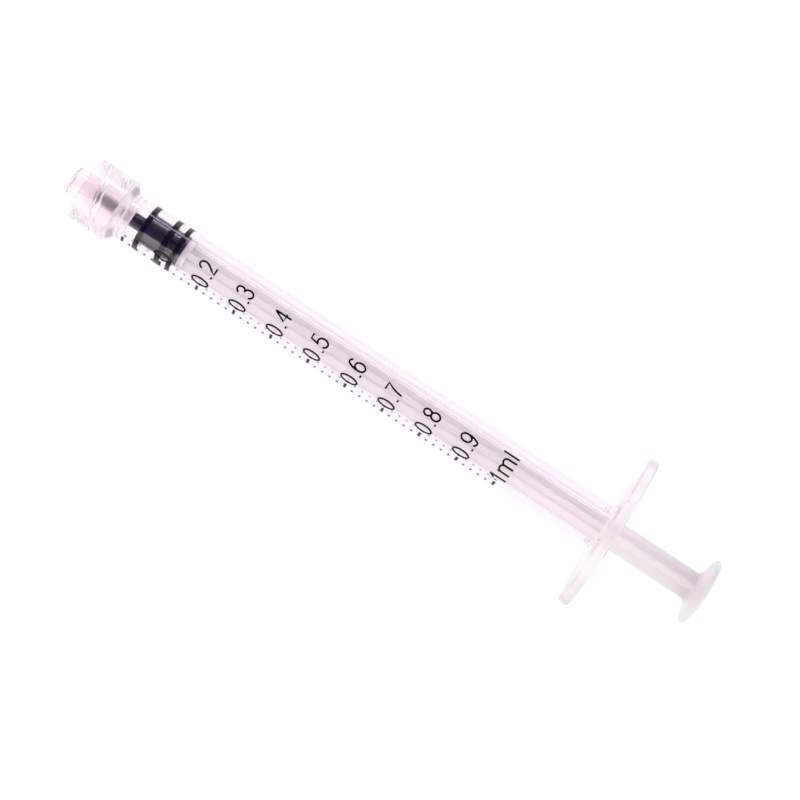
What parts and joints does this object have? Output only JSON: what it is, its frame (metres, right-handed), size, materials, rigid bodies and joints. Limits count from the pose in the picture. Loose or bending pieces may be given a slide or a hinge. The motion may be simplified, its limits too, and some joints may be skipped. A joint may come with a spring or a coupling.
{
  "type": "syringe",
  "caption": "Slim clear syringe with a lock-collar tip, a numbered printed scale, a black piston seal with a long nose, a cross-ribbed plunger rod and a winged finger flange.",
  "frame": {"origin": "centre of the nozzle's tip, on the syringe's axis", "axes": "+X runs back along the axis to the thumb disc, +Z points to the top line of the printed scale, +Y is across the finger flange"},
  "size_m": [0.098, 0.0222, 0.01],
  "materials": {
    "clear_plastic": "clear moulded plastic, polished",
    "ink": "black printed ink",
    "black_rubber": "smooth moulded rubber with a thin film of silicone oil",
    "rod_plastic": "translucent white moulded plastic, satin"
  },
  "bodies": {
    "barrel": {"barrel_tube": "clear_plastic", "barrel_hub": "clear_plastic", "luer_nozzle": "clear_plastic", "luer_lock_collar": "clear_plastic", "luer_lock_thread": "clear_plastic", "finger_flange": "clear_plastic", "graduation_lines": "ink", "scale_numbers": "ink"},
    "seal": {"piston_seal": "black_rubber", "seal_nose": "black_rubber"},
    "rod": {"rod_head": "rod_plastic", "plunger_rod": "rod_plastic", "thumb_disc": "rod_plastic"}
  },
  "joints": [
    {"name": "plunger_slide", "type": "slide", "parent": "barrel", "child": "seal", "axis": [1, 0, 0], "range_m": [-0.00165, 0.0645]},
    {"name": "rod_turn", "type": "hinge", "parent": "seal", "child": "rod", "pos_m": [0.018, 0, 0], "axis": [1, 0, 0], "continuous": true}
  ]
}
